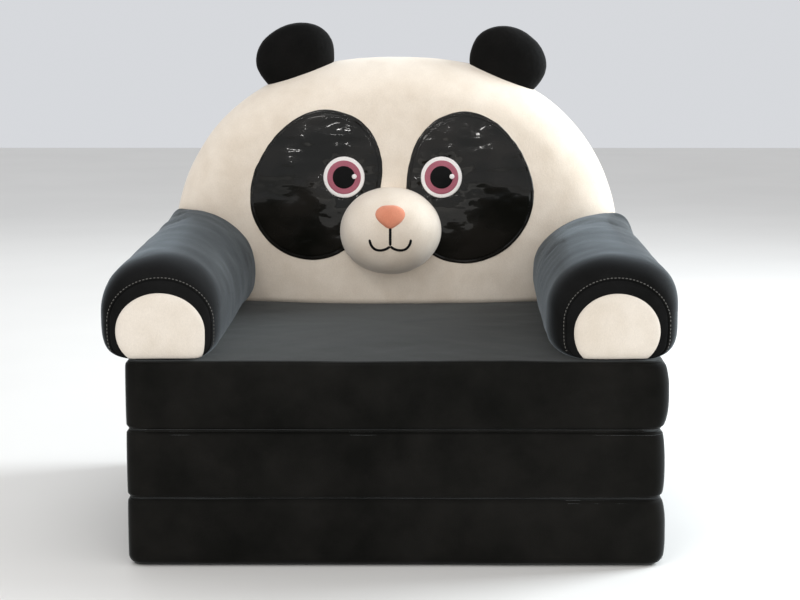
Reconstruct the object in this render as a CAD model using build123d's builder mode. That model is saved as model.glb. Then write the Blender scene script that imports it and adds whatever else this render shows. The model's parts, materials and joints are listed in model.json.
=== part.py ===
"""A child's fold-out foam sofa in the shape of a sitting panda.

Three velvet-covered foam pads are stacked and joined edge to edge in a zigzag: the base and the
middle pad at the rear, the middle pad and the seat at the front. The seat pad carries two round
arms with cream paw ends and a domed backrest with a panda face and two ears. Swung out backwards
the pads lie end to end as a bed. +X is to the right of someone facing the sofa, +Y runs from the
front to the back and +Z is up. The origin is on the floor under the middle of the base. Left and
right in the names are those of someone facing the sofa.
"""

import os
from math import asin, degrees, sqrt

from build123d import *

os.makedirs("parts", exist_ok=True)

# ---------------------------------------------------------------- driving dimensions, millimetres

# Pads
pad_w = 520.0  # width of each pad, left to right
pad_d = 450.0  # depth of each pad, front to back
pad_pitch = 67.5  # height from one hinge line to the next
pad_gap = 0.5  # how far each pad stands off its hinge line
pad_corner_r = 14.0  # upright corners
pad_edge_r = 9.0  # top and bottom edges
cover_t = 1.5  # sewn cover with its lining
fit_gap = 0.3  # slack between a cover and what fills it
trim_gap = 0.05  # slack under the trim on the muzzle

# Hinge seams
hinge_out = 2.0  # the hinge lines lie this far outside the pads' faces
welt_r = 2.5  # piping sewn along a hinge line
welt_end = 20.0  # each end of the piping stops this far in from the pad's side

# Underside
grip_t = 1.5  # thickness of the non-slip panel

# Arms
arm_x = 220.0  # centre of each arm from the middle
arm_r = 60.0  # half width, and the radius of the arm's top
arm_h = 107.5  # height of an arm above the seat
arm_foot_r = 26.0  # rounding where an arm's side turns under
arm_rear_y = 196.0  # rear end of the arms
arm_end_r = 15.0  # rounding of the two ends

# Paw panels
paw_w = 86.0
paw_h = 75.0
paw_rise = 30.5  # height of the paw oval's centre above the seat
paw_foot = 2.0  # the oval is cut flat this far above the seat
paw_t = 1.2

# Backrest: straight sides, round shoulders and a flatter arc over the top
dome_half_w = 258.0
dome_top_z = 485.0
dome_top_r = 460.0
shoulder_r = 222.0
back_rear_y = 218.0
back_seam_y = 200.0  # seam between the front and the rear cover
crown_y = 128.0  # foremost point of the backrest
crown_z = 335.0  # height of that point
crown_r = 700.0  # radius of the backrest's bulging front
rim_front_r = 24.0
rim_rear_r = 14.0

# Ears
ear_x = 124.0
ear_y = 188.0
ear_z = 478.5
ear_r = 46.0
ear_half_t = 24.0
ear_rim_r = 20.0

# Eye patches: leaning ovals
patch_x = 87.5
patch_z = 341.0
patch_half_w = 72.0
patch_half_h = 86.0
patch_lean = 8.0  # degrees, tops lean towards each other
patch_t = 1.2

# Eyes: discs stacked on the patches
eye_x = 55.0
eye_z = 351.0
white_r = 24.0
iris_r = 19.5
pupil_r = 13.4
glint_r = 3.4
glint_shift = 11.5  # both glints lie this far to the right of their eye's centre
glint_rise = 1.0
felt_t = 0.9

# Muzzle, nose and mouth
muzzle_z = 290.5
muzzle_half_w = 57.5
muzzle_half_h = 49.5
muzzle_out = 48.0  # how far the muzzle stands out of the face
nose_z = 311.5
nose_w = 33.0
nose_h = 27.0
nose_corner_r = 8.0
nose_tip_r = 6.0
nose_out = 4.0  # how far the nose stands proud of the muzzle
mouth_w = 2.2  # width of the embroidered line
mouth_t = 0.8
mouth_top_z = 297.5
mouth_fork_z = 277.5
mouth_half_w = 23.5  # from the middle to a corner of the mouth
mouth_corner_z = 286.0
mouth_sag_z = 273.0

# Zips
zip_l = 340.0
zip_tape_w = 16.0
zip_tape_t = 0.8
zip_coil_w = 6.0
zip_coil_t = 1.6
zip_stop_l = 3.0
back_zip_z = 236.0
slider_l = 12.0
slider_w = 9.5
slider_t = 3.2
slider_gap = 0.2
slider_corner_r = 1.2
slider_edge_r = 0.6
lug_l = 4.0
lug_t = 1.2
pull_l = 22.0
pull_w = 8.0
pull_t = 1.2
pull_r = 1.6  # radius of the pull's knuckle
pull_knuckle_w = 3.2
pin_r = 0.7
pin_gap = 0.1
pivot_rise = 2.2  # the pull's pivot is this high over the slider

# ---------------------------------------------------------------- values that follow from them

seat_z = 3 * pad_pitch  # hinge lines are at 1 and 2 pitches, the seat's top at 3
front_y = -pad_d / 2
rear_y = pad_d / 2
dome_centre_z = dome_top_z - dome_top_r
dome_spring_rise = sqrt((dome_top_r - shoulder_r) ** 2 - (dome_half_w - shoulder_r) ** 2)
dome_spring_z = dome_centre_z + dome_spring_rise  # where the straight sides end
face_reach = 60.0  # face pieces are cut from blanks this long, front to back
foam_inset = cover_t + fit_gap

crown_centre = (0, crown_y + crown_r, crown_z)


def save(piece, name):
    """Label a finished piece and write it as its own STEP file."""
    piece.part.label = name
    export_step(piece.part, f"parts/{name}.step")


# ---------------------------------------------------------------- pads


def pad_body(level, inset):
    """The pad at a level of the stack, 0 to 2, with every face moved in by inset."""
    bottom = level * pad_pitch + (pad_gap if level > 0 else 0) + inset
    top = (level + 1) * pad_pitch - (pad_gap if level < 2 else 0) - inset
    with BuildPart() as body:
        with BuildSketch(Plane.XY.offset(bottom)):
            RectangleRounded(pad_w - 2 * inset, pad_d - 2 * inset, pad_corner_r - inset)
        extrude(amount=top - bottom)
        rims = body.faces().filter_by(Axis.Z).edges()
        fillet(rims, pad_edge_r - inset)
    return body.part


grip_w = pad_w - 2 * pad_edge_r
grip_d = pad_d - 2 * pad_edge_r
grip_corner_r = pad_corner_r - pad_edge_r

with BuildPart() as base_pad_cover:
    add(pad_body(0, 0))
    add(pad_body(0, cover_t), mode=Mode.SUBTRACT)
    with BuildSketch():
        RectangleRounded(grip_w, grip_d, grip_corner_r)
    extrude(amount=grip_t, mode=Mode.SUBTRACT)
save(base_pad_cover, "base_pad_cover")

with BuildPart() as base_grip_panel:
    with BuildSketch():
        RectangleRounded(grip_w, grip_d, grip_corner_r)
    extrude(amount=grip_t)
save(base_grip_panel, "base_grip_panel")

for level, pad_name in enumerate(("base_pad", "middle_pad", "seat_pad")):
    if level > 0:
        with BuildPart() as pad_cover:
            add(pad_body(level, 0))
            add(pad_body(level, cover_t), mode=Mode.SUBTRACT)
        save(pad_cover, f"{pad_name}_cover")
    with BuildPart() as pad_foam:
        add(pad_body(level, foam_inset))
    save(pad_foam, f"{pad_name}_foam")

# ---------------------------------------------------------------- hinge seams

# The rear seam joins base and middle pad, the front seam joins middle pad and seat.
for welt_name, welt_y, welt_level in (
    ("rear_hinge_welt", rear_y + hinge_out, 1),
    ("front_hinge_welt", front_y - hinge_out, 2),
):
    with BuildPart() as hinge_welt:
        with BuildSketch(Plane.YZ):
            with Locations((welt_y, welt_level * pad_pitch)):
                Circle(welt_r)
        extrude(amount=pad_w / 2 - welt_end, both=True)
    save(hinge_welt, welt_name)

# ---------------------------------------------------------------- backrest


def backrest_body(inset):
    """The whole backrest with every face moved in by inset."""
    half_w = dome_half_w - inset
    foot = seat_z + inset
    turn = degrees(asin(dome_spring_rise / (dome_top_r - shoulder_r)))
    with BuildPart() as body:
        with BuildSketch(Plane.XZ.offset(inset - back_rear_y)):
            with BuildLine():
                right = CenterArc(
                    (dome_half_w - shoulder_r, dome_spring_z), shoulder_r - inset, 0, turn
                )
                top = CenterArc((0, dome_centre_z), dome_top_r - inset, turn, 180 - 2 * turn)
                left = CenterArc(
                    (shoulder_r - dome_half_w, dome_spring_z), shoulder_r - inset, 180 - turn, turn
                )
                Polyline(left @ 1, (-half_w, foot), (half_w, foot), right @ 0)
            make_face()
        extrude(amount=back_rear_y - crown_y + face_reach)
        with Locations(crown_centre):
            Sphere(crown_r - inset, mode=Mode.INTERSECT)
        front_rim = body.faces().sort_by(Axis.Y)[0].edges().sort_by(Axis.Z)[1:]
        fillet(front_rim, rim_front_r - inset)
        rear_rim = body.faces().sort_by(Axis.Y)[-1].edges().sort_by(Axis.Z)[1:]
        fillet(rear_rim, rim_rear_r - inset)
    return body.part


backrest_outer = backrest_body(0)
backrest_inner = backrest_body(cover_t)
backrest_clearance = backrest_body(-fit_gap)
seam_plane = Plane.XZ.offset(-back_seam_y)

with BuildPart() as backrest_front_cover:
    add(backrest_outer)
    add(backrest_inner, mode=Mode.SUBTRACT)
    split(bisect_by=seam_plane, keep=Keep.TOP)
save(backrest_front_cover, "backrest_front_cover")

with BuildPart() as backrest_rear_cover:
    add(backrest_outer)
    add(backrest_inner, mode=Mode.SUBTRACT)
    split(bisect_by=seam_plane, keep=Keep.BOTTOM)
save(backrest_rear_cover, "backrest_rear_cover")

with BuildPart() as backrest_foam:
    add(backrest_body(foam_inset))
save(backrest_foam, "backrest_foam")

# ---------------------------------------------------------------- arms


def arm_outline(side, inset):
    """Cross-section of an arm: a round top on a flat foot, drawn in by inset."""
    centre_x = side * arm_x
    foot_half_w = arm_r - arm_foot_r
    foot_centre_z = seat_z + arm_foot_r
    foot_r = arm_foot_r - inset
    with BuildSketch() as outline:
        with BuildLine():
            top = CenterArc((centre_x, seat_z + arm_h - arm_r), arm_r - inset, 0, 180)
            left = CenterArc((centre_x - foot_half_w, foot_centre_z), foot_r, 180, 90)
            right = CenterArc((centre_x + foot_half_w, foot_centre_z), foot_r, 270, 90)
            Line(top @ 1, left @ 0)
            Line(left @ 1, right @ 0)
            Line(right @ 1, top @ 0)
        make_face()
    return outline.sketch


def arm_body(side, inset):
    """The whole arm with every face moved in by inset."""
    with BuildPart() as body:
        with BuildSketch(Plane.XZ.offset(-front_y - inset)):
            add(arm_outline(side, inset))
        extrude(amount=front_y - arm_rear_y + 2 * inset)
        fillet(body.faces().filter_by(Axis.Y).edges(), arm_end_r - inset)
    return body.part


def paw_outline(side):
    """The paw: an oval cut flat near the seat."""
    with BuildSketch() as outline:
        with Locations((side * arm_x, seat_z + paw_rise)):
            Ellipse(paw_w / 2, paw_h / 2)
        with Locations((side * arm_x, seat_z + paw_foot)):
            Rectangle(paw_w, paw_h, align=(Align.CENTER, Align.MAX), mode=Mode.SUBTRACT)
    return outline.sketch


arm_front_plane = Plane.XZ.offset(-front_y)

for side, side_name in ((-1, "left"), (1, "right")):
    with BuildPart() as arm_cover:
        add(arm_body(side, 0))
        add(arm_body(side, cover_t), mode=Mode.SUBTRACT)
        with BuildSketch(arm_front_plane):
            add(arm_outline(side, arm_end_r))
        extrude(amount=-cover_t, mode=Mode.SUBTRACT)
        add(backrest_clearance, mode=Mode.SUBTRACT)
    save(arm_cover, f"{side_name}_arm_cover")

    with BuildPart() as arm_end_cap:
        with BuildSketch(arm_front_plane):
            add(arm_outline(side, arm_end_r))
        extrude(amount=-cover_t)
    save(arm_end_cap, f"{side_name}_arm_end_cap")

    with BuildPart() as paw_panel:
        with BuildSketch(arm_front_plane):
            add(paw_outline(side))
        extrude(amount=paw_t)
    save(paw_panel, f"{side_name}_paw_panel")

    with BuildPart() as arm_stuffing:
        add(arm_body(side, foam_inset))
        add(backrest_clearance, mode=Mode.SUBTRACT)
    save(arm_stuffing, f"{side_name}_arm_stuffing")

# ---------------------------------------------------------------- ears


def ear_body(side, inset):
    """A thick disc with a deeply rounded rim, standing upright."""
    with BuildPart() as body:
        with BuildSketch(Plane.XZ.offset(ear_half_t - ear_y - inset)):
            with Locations((side * ear_x, ear_z)):
                Circle(ear_r - inset)
        extrude(amount=2 * (inset - ear_half_t))
        fillet(body.edges().filter_by(GeomType.CIRCLE), ear_rim_r - inset)
    return body.part


for side, side_name in ((-1, "left"), (1, "right")):
    with BuildPart() as ear_cover:
        add(ear_body(side, 0))
        add(ear_body(side, cover_t), mode=Mode.SUBTRACT)
        add(backrest_clearance, mode=Mode.SUBTRACT)
    save(ear_cover, f"{side_name}_ear_cover")

    with BuildPart() as ear_stuffing:
        add(ear_body(side, foam_inset))
        add(backrest_clearance, mode=Mode.SUBTRACT)
    save(ear_stuffing, f"{side_name}_ear_stuffing")

# ---------------------------------------------------------------- eye patches and eyes


def face_layer(outline, low, high):
    """A piece of the given outline lying on the face, from low to high above its surface."""
    with BuildPart() as layer:
        with BuildSketch(Plane.XZ.offset(face_reach - crown_y)):
            add(outline)
        extrude(amount=-2 * face_reach)
        with Locations(crown_centre):
            Sphere(crown_r + high, mode=Mode.INTERSECT)
            Sphere(crown_r + low, mode=Mode.SUBTRACT)
    return layer.part


def disc_outline(x, z, radius):
    """A round outline on the face."""
    with BuildSketch() as outline:
        with Locations((x, z)):
            Circle(radius)
    return outline.sketch


def patch_outline(side):
    """A leaning oval that stops where the muzzle begins."""
    with BuildSketch() as outline:
        with Locations(Location((side * patch_x, patch_z, 0), (0, 0, side * patch_lean))):
            Ellipse(patch_half_w, patch_half_h)
        with Locations((0, muzzle_z)):
            Ellipse(muzzle_half_w + fit_gap, muzzle_half_h + fit_gap, mode=Mode.SUBTRACT)
    return outline.sketch


for side, side_name in ((-1, "left"), (1, "right")):
    with BuildPart() as eye_patch:
        add(face_layer(patch_outline(side), 0, patch_t))
    save(eye_patch, f"{side_name}_eye_patch")

    centre_x = side * eye_x
    for number, (disc_name, disc_x, disc_z, disc_r) in enumerate(
        (
            ("eye_white", centre_x, eye_z, white_r),
            ("eye_iris", centre_x, eye_z, iris_r),
            ("eye_pupil", centre_x, eye_z, pupil_r),
            ("eye_glint", centre_x + glint_shift, eye_z + glint_rise, glint_r),
        )
    ):
        low = patch_t + number * felt_t
        with BuildPart() as eye_disc:
            add(face_layer(disc_outline(disc_x, disc_z, disc_r), low, low + felt_t))
        save(eye_disc, f"{side_name}_{disc_name}")

# ---------------------------------------------------------------- muzzle, nose and mouth


def muzzle_body(inset):
    """The muzzle: an egg half sunk in the face, with its surface moved in by inset."""
    with BuildPart() as unit:
        Sphere(1)
        scale(by=(muzzle_half_w - inset, muzzle_out - inset, muzzle_half_h - inset))
    return unit.part.moved(Location((0, crown_y, muzzle_z)))


def muzzle_layer(outline, high):
    """A piece of the given outline lying on the muzzle, high at its top."""
    with BuildPart() as layer:
        with BuildSketch(Plane.XZ.offset(face_reach - crown_y)):
            add(outline)
        extrude(amount=-face_reach)
        add(muzzle_body(-high), mode=Mode.INTERSECT)
        add(muzzle_body(-trim_gap), mode=Mode.SUBTRACT)
    return layer.part


with BuildPart() as muzzle_cover:
    add(muzzle_body(0))
    add(muzzle_body(cover_t), mode=Mode.SUBTRACT)
    add(backrest_clearance, mode=Mode.SUBTRACT)
save(muzzle_cover, "muzzle_cover")

with BuildPart() as muzzle_stuffing:
    add(muzzle_body(foam_inset))
    add(backrest_clearance, mode=Mode.SUBTRACT)
save(muzzle_stuffing, "muzzle_stuffing")

# A triangle with round corners, point down.
nose_corner_x = nose_w / 2 - nose_corner_r
nose_corner_z = nose_z + nose_h / 2 - nose_corner_r

with BuildSketch() as nose_outline:
    with BuildSketch(mode=Mode.PRIVATE) as nose_corners:
        for corner_side in (-1, 1):
            with Locations((corner_side * nose_corner_x, nose_corner_z)):
                Circle(nose_corner_r)
        with Locations((0, nose_z - nose_h / 2 + nose_tip_r)):
            Circle(nose_tip_r)
    make_hull(nose_corners.sketch.edges())

with BuildPart() as nose:
    add(muzzle_layer(nose_outline.sketch, nose_out))
save(nose, "nose")

# A short stem below the nose that forks into two upturned corners.
with BuildSketch() as mouth_outline:
    with BuildLine():
        Line((0, mouth_top_z), (0, mouth_fork_z))
        for corner_side in (-1, 1):
            ThreePointArc(
                (0, mouth_fork_z),
                (corner_side * mouth_half_w / 2, mouth_sag_z),
                (corner_side * mouth_half_w, mouth_corner_z),
            )
    trace(line_width=mouth_w)

with BuildPart() as mouth:
    add(muzzle_layer(mouth_outline.sketch, mouth_t))
save(mouth, "mouth")

# ---------------------------------------------------------------- zips

# Each zip has its own plane: local x along the zip, local y up, local z out of the cover.
zip_planes = {}
for level, zip_name in enumerate(("base", "middle", "seat")):
    zip_z = level * pad_pitch + pad_pitch / 2
    zip_planes[zip_name] = Plane(
        origin=(-pad_w / 2, 0, zip_z), x_dir=(0, -1, 0), z_dir=(-1, 0, 0)
    )
zip_planes["backrest"] = Plane(
    origin=(0, back_rear_y, back_zip_z), x_dir=(-1, 0, 0), z_dir=(0, 1, 0)
)

coil_top = zip_tape_t + zip_coil_t
slider_bottom = coil_top + slider_gap
slider_top = slider_bottom + slider_t
pivot_z = slider_top + pivot_rise
parked_x = -(zip_l / 2 - zip_stop_l - slider_l / 2 - slider_gap)
neck_l = lug_l / 2 + pull_r
lug_y = pull_knuckle_w / 2 + slider_gap + lug_t / 2

for zip_name, zip_plane in zip_planes.items():
    with BuildPart() as zip_tape:
        with BuildSketch(zip_plane):
            Rectangle(zip_l, zip_tape_w)
        extrude(amount=zip_tape_t)
        with BuildSketch(zip_plane.offset(zip_tape_t)):
            Rectangle(zip_l, zip_coil_w)
        extrude(amount=zip_coil_t)
        with BuildSketch(zip_plane.offset(coil_top)):
            for stop_end in (-1, 1):
                with Locations((stop_end * (zip_l - zip_stop_l) / 2, 0)):
                    Rectangle(zip_stop_l, zip_coil_w)
        extrude(amount=zip_tape_t)
    save(zip_tape, f"{zip_name}_zip_tape")

    pivot_plane = Plane(
        origin=zip_plane.from_local_coords((parked_x, 0, pivot_z)),
        x_dir=zip_plane.x_dir,
        z_dir=zip_plane.y_dir,
    )
    with BuildPart() as zip_slider:
        with BuildSketch(zip_plane.offset(slider_bottom)):
            with Locations((parked_x, 0)):
                RectangleRounded(slider_l, slider_w, slider_corner_r)
        extrude(amount=slider_t)
        outward = Axis(zip_plane.origin, zip_plane.z_dir)
        fillet(zip_slider.faces().sort_by(outward)[-1].edges(), slider_edge_r)
        for lug_side in (-1, 1):
            with BuildSketch(zip_plane.offset(slider_top)):
                with Locations((parked_x, lug_side * lug_y)):
                    Rectangle(lug_l, lug_t)
            extrude(amount=pivot_rise + pull_r)
        with BuildSketch(pivot_plane):
            Circle(pin_r)
        extrude(amount=pull_knuckle_w / 2 + slider_gap, both=True)
    save(zip_slider, f"{zip_name}_zip_slider")

    with BuildPart() as zip_pull:
        with BuildSketch(zip_plane.offset(pivot_z - pull_t / 2)):
            with Locations((parked_x, 0)):
                Rectangle(neck_l, pull_knuckle_w, align=(Align.MAX, Align.CENTER))
            with Locations((parked_x - neck_l, 0)):
                Rectangle(pull_l, pull_w, align=(Align.MAX, Align.CENTER))
        extrude(amount=pull_t)
        with BuildSketch(pivot_plane):
            Circle(pull_r)
        extrude(amount=pull_knuckle_w / 2, both=True)
        with BuildSketch(pivot_plane):
            Circle(pin_r + pin_gap)
        extrude(amount=pull_w, both=True, mode=Mode.SUBTRACT)
    save(zip_pull, f"{zip_name}_zip_pull")
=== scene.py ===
"""Looks of the panda fold-out sofa: covers, stitching, face, zips, light and camera."""

import json
import math

import bmesh
import bpy
import numpy as np
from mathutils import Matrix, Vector, noise
from mathutils.bvhtree import BVHTree
from mathutils.kdtree import KDTree


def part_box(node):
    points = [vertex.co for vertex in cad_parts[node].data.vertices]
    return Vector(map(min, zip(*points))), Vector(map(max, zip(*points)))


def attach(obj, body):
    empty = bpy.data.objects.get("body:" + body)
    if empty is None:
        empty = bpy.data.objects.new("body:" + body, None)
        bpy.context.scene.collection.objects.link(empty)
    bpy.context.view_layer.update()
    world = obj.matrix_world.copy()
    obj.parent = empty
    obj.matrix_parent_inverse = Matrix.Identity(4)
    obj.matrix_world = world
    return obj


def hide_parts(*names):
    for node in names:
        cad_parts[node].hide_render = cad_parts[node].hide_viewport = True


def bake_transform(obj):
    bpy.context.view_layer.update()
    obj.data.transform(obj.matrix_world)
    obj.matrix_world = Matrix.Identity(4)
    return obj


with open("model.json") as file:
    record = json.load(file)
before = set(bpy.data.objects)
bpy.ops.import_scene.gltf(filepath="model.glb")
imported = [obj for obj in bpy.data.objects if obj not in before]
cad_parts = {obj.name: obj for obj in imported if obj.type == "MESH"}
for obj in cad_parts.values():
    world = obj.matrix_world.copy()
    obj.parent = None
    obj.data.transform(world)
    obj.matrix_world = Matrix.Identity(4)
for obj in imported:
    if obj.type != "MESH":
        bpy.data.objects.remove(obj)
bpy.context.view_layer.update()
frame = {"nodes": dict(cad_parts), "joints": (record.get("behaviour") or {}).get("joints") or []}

MM = 0.001
CLOTH_FRAMES = 16
CLOTH_PRESSURE = 3.0
CLOTH_STIFFNESS = 25.0
CLOTH_BENDING = 0.4
CORE_INSET = 4.0 * MM  # a filling lies this far inside its cover

# ---------------------------------------------------------------- sizes taken from the frame


def low(node):
    """Lowest corner of a CAD node."""
    return np.array(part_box(node)[0])


def high(node):
    """Highest corner of a CAD node."""
    return np.array(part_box(node)[1])


def centre(*nodes):
    """Middle of the box round one or more CAD nodes."""
    lowest = np.min([low(n) for n in nodes], axis=0)
    highest = np.max([high(n) for n in nodes], axis=0)
    return (lowest + highest) / 2


SEAT_TOP = high("seat_pad_cover")[2]
PAD_FRONT = low("seat_pad_cover")[1]
BACK_HALF_W = high("backrest_front_cover")[0] + 1.5 * MM
BACK_TOP = high("backrest_front_cover")[2]
BACK_FRONT = low("backrest_front_cover")[1]
BACK_REAR = high("backrest_rear_cover")[1]
SIDES = (("left", -1), ("right", 1))

# A sewn toy is never quite even: the face sits a little to the left.
FACE_SHIFT = -4.0 * MM
MUZZLE_SHIFT = -6.5 * MM

# ---------------------------------------------------------------- mesh helpers


def loft(rings):
    """Vertices and faces of a closed skin over a stack of rings, with a fan at each end."""
    rings = np.asarray(rings, float)
    count, around = rings.shape[:2]
    verts = np.vstack([rings.reshape(-1, 3), rings[0].mean(0), rings[-1].mean(0)])
    start = np.arange(count - 1)[:, None] * around
    step = np.arange(around)[None, :]
    following = (step + 1) % around
    quads = np.stack(
        [start + step, start + following, start + around + following, start + around + step], -1
    )
    faces = quads.reshape(-1, 4).tolist()
    last = (count - 1) * around
    first_hub, last_hub = count * around, count * around + 1
    for i in range(around):
        j = (i + 1) % around
        faces.append([first_hub, j, i])
        faces.append([last_hub, last + i, last + j])
    return verts, faces


def joined(parts):
    """Several (vertices, faces) pairs as one."""
    verts, faces = [], []
    for part_verts, part_faces in parts:
        offset = len(verts)
        verts.extend(part_verts)
        faces.extend([[i + offset for i in face] for face in part_faces])
    return verts, faces


def full_turn(count):
    """Angles spread evenly round a circle."""
    return np.linspace(0, 2 * math.pi, count, endpoint=False)


def squared(value, power):
    """A sine or cosine for a superellipse: power 2 leaves it round and a higher one squares it."""
    return np.sign(value) * np.abs(value) ** (2 / power)


def upright(flat, y):
    """An outline's points (x, z) stood up at a depth, or at a depth for each point."""
    return np.column_stack([flat[:, 0], np.broadcast_to(y, len(flat)), flat[:, 1]])


def level(flat, z):
    """An outline's points (x, y) laid level at a height."""
    return np.column_stack([flat, np.full(len(flat), z)])


def build(name, verts, faces, material, slot, body=None, replaces=()):
    """A smooth mesh piece with its normals pointing out."""
    mesh = bpy.data.meshes.new(name)
    mesh.from_pydata([tuple(v) for v in verts], [], faces)
    work = bmesh.new()
    work.from_mesh(mesh)
    bmesh.ops.recalc_face_normals(work, faces=work.faces)
    work.to_mesh(mesh)
    work.free()
    mesh.polygons.foreach_set("use_smooth", [True] * len(mesh.polygons))
    mesh.update()
    piece = bpy.data.objects.new(name, mesh)
    bpy.context.scene.collection.objects.link(piece)
    mesh.materials.append(material)
    if replaces:
        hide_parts(*replaces)
    if body:
        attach(piece, body)
    return piece


def positions(piece):
    """The piece's vertices and normals as arrays."""
    mesh = piece.data
    co = np.empty(len(mesh.vertices) * 3)
    normal = np.empty(len(mesh.vertices) * 3)
    mesh.vertices.foreach_get("co", co)
    mesh.vertices.foreach_get("normal", normal)
    return co.reshape(-1, 3), normal.reshape(-1, 3)


def move(piece, co):
    """Put the piece's vertices at the given places."""
    piece.data.vertices.foreach_set("co", np.asarray(co, float).ravel())
    piece.data.update()


def ripple(co, size, seed):
    """Smooth noise between about -1 and 1 at each point, with features of the given size."""
    shift = Vector((seed * 3.1, seed * 7.7, seed * 1.3))
    return np.array([noise.noise(Vector(p) / size + shift) for p in co])


def undulate(piece, layers, hold=None, stretch=(1.0, 1.0, 1.0)):
    """Push the surface in and out by layers of (feature size, height, seed) along its normals."""
    co, normal = positions(piece)
    push = np.zeros(len(co))
    for size, height, seed in layers:
        push += height * ripple(co / stretch, size, seed)
    if hold is not None:
        push *= hold(co)
    move(piece, co + normal * push[:, None])


def puff(piece, voxel, cap, still):
    """Fill a cover: an even copy of it swells as cloth, and the cover takes up the same movement.

    No point moves further than cap. still gives, for points, how firmly they are held, from 0
    (free) to 1 (sewn down).
    """
    scene = bpy.context.scene
    copy = bpy.data.objects.new(piece.name + "_blank", piece.data.copy())
    scene.collection.objects.link(copy)
    remesh = copy.modifiers.new("even", "REMESH")
    remesh.mode = "VOXEL"
    remesh.voxel_size = voxel
    even = bpy.data.meshes.new_from_object(copy.evaluated_get(bpy.context.evaluated_depsgraph_get()))
    copy.modifiers.clear()
    copy.data = even
    before, _ = positions(copy)
    held = copy.vertex_groups.new(name="held")
    for index, weight in enumerate(still(before)):
        if weight > 0:
            held.add([index], float(weight), "REPLACE")
    cloth = copy.modifiers.new("cloth", "CLOTH")
    cloth.settings.use_pressure = True
    cloth.settings.uniform_pressure_force = CLOTH_PRESSURE
    cloth.settings.vertex_group_mass = "held"
    cloth.settings.tension_stiffness = CLOTH_STIFFNESS
    cloth.settings.compression_stiffness = CLOTH_STIFFNESS
    cloth.settings.bending_stiffness = CLOTH_BENDING
    cloth.settings.effector_weights.gravity = 0
    cloth.point_cache.frame_start = 1
    cloth.point_cache.frame_end = CLOTH_FRAMES
    for step in range(1, CLOTH_FRAMES + 1):
        scene.frame_set(step)
    after = np.empty(len(before) * 3)
    swollen = copy.evaluated_get(bpy.context.evaluated_depsgraph_get())
    swollen.data.vertices.foreach_get("co", after)
    shift = after.reshape(-1, 3) - before
    scene.frame_set(1)
    bpy.data.objects.remove(copy)
    tree = KDTree(len(before))
    for index, point in enumerate(before):
        tree.insert(point, index)
    tree.balance()
    co, _ = positions(piece)
    moved = np.empty_like(co)
    for number, point in enumerate(co):
        near = tree.find_n(point, 8)
        weight = np.array([1 / (distance + voxel / 4) ** 2 for _, _, distance in near])
        share = shift[[index for _, index, _ in near]]
        moved[number] = (share * weight[:, None]).sum(0) / weight.sum()
    size = np.linalg.norm(moved, axis=1, keepdims=True)
    moved *= cap * np.tanh(size / cap) / np.maximum(size, 1e-9)
    move(piece, co + moved * (1 - still(co))[:, None])


def surface(piece):
    """A tree for finding points on a finished piece."""
    co, _ = positions(piece)
    return BVHTree.FromPolygons([tuple(v) for v in co], [tuple(p.vertices) for p in piece.data.polygons])


def on_front(tree, x, z):
    """Point and outward normal where a line along +Y meets a surface, or passes nearest to it."""
    point, normal, _, _ = tree.ray_cast(Vector((x, -1, z)), Vector((0, 1, 0)))
    if point is None:
        point, normal, _, _ = tree.find_nearest(Vector((x, PAD_FRONT, z)))
    if normal.y > 0:
        normal = -normal
    return np.array(point), np.array(normal)


def resample(points, count):
    """A closed outline with its points spread evenly."""
    loop = np.vstack([points, points[:1]])
    length = np.concatenate([[0], np.cumsum(np.linalg.norm(np.diff(loop, axis=0), axis=1))])
    wanted = np.linspace(0, length[-1], count, endpoint=False)
    return np.column_stack([np.interp(wanted, length, loop[:, k]) for k in range(2)])


def outward(outline):
    """Unit normals of a closed counter-clockwise outline, pointing out."""
    along = np.roll(outline, -1, 0) - np.roll(outline, 1, 0)
    normal = np.column_stack([along[:, 1], -along[:, 0]])
    return normal / np.linalg.norm(normal, axis=1, keepdims=True)


def rounded_rectangle(half_w, half_d, radius, count):
    """A closed counter-clockwise outline."""
    turn = np.linspace(0, math.pi / 2, 24)
    corners = []
    for quarter, (sx, sy) in enumerate(((1, 1), (-1, 1), (-1, -1), (1, -1))):
        angle = turn + quarter * math.pi / 2
        corners.append(
            np.column_stack(
                [
                    sx * (half_w - radius) + radius * np.cos(angle),
                    sy * (half_d - radius) + radius * np.sin(angle),
                ]
            )
        )
    return resample(np.vstack(corners), count)


def beads(name, points, normals, size, material, slot, body):
    """Small rounded stitches along a path. size is (length, width, height); each lies along the path."""
    turn = full_turn(8)
    points = np.asarray(points)
    forward = np.roll(points, -1, 0) - np.roll(points, 1, 0)
    forward[0] = points[1] - points[0]
    forward[-1] = points[-1] - points[-2]
    parts = []
    for point, normal, along in zip(points, np.asarray(normals), forward):
        along = along / np.linalg.norm(along)
        across = np.cross(normal, along)
        across /= np.linalg.norm(across)
        up = np.cross(along, across)
        rings = []
        for tilt in np.linspace(-0.49 * math.pi, 0.49 * math.pi, 5):
            swell = math.cos(tilt) ** 0.6
            rings.append(
                point
                + along * (size[0] / 2 * math.sin(tilt))
                + np.outer(np.cos(turn) * swell * size[1] / 2, across)
                + np.outer(np.sin(turn) * swell * size[2] / 2, up)
            )
        parts.append(loft(rings))
    return build(name, *joined(parts), material, slot, body)


def spaced(path, pitch):
    """Points a pitch apart along an open or closed polyline given as an array."""
    length = np.concatenate([[0], np.cumsum(np.linalg.norm(np.diff(path, axis=0), axis=1))])
    wanted = np.arange(pitch / 2, length[-1], pitch)
    return np.column_stack([np.interp(wanted, length, path[:, k]) for k in range(path.shape[1])])


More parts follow.
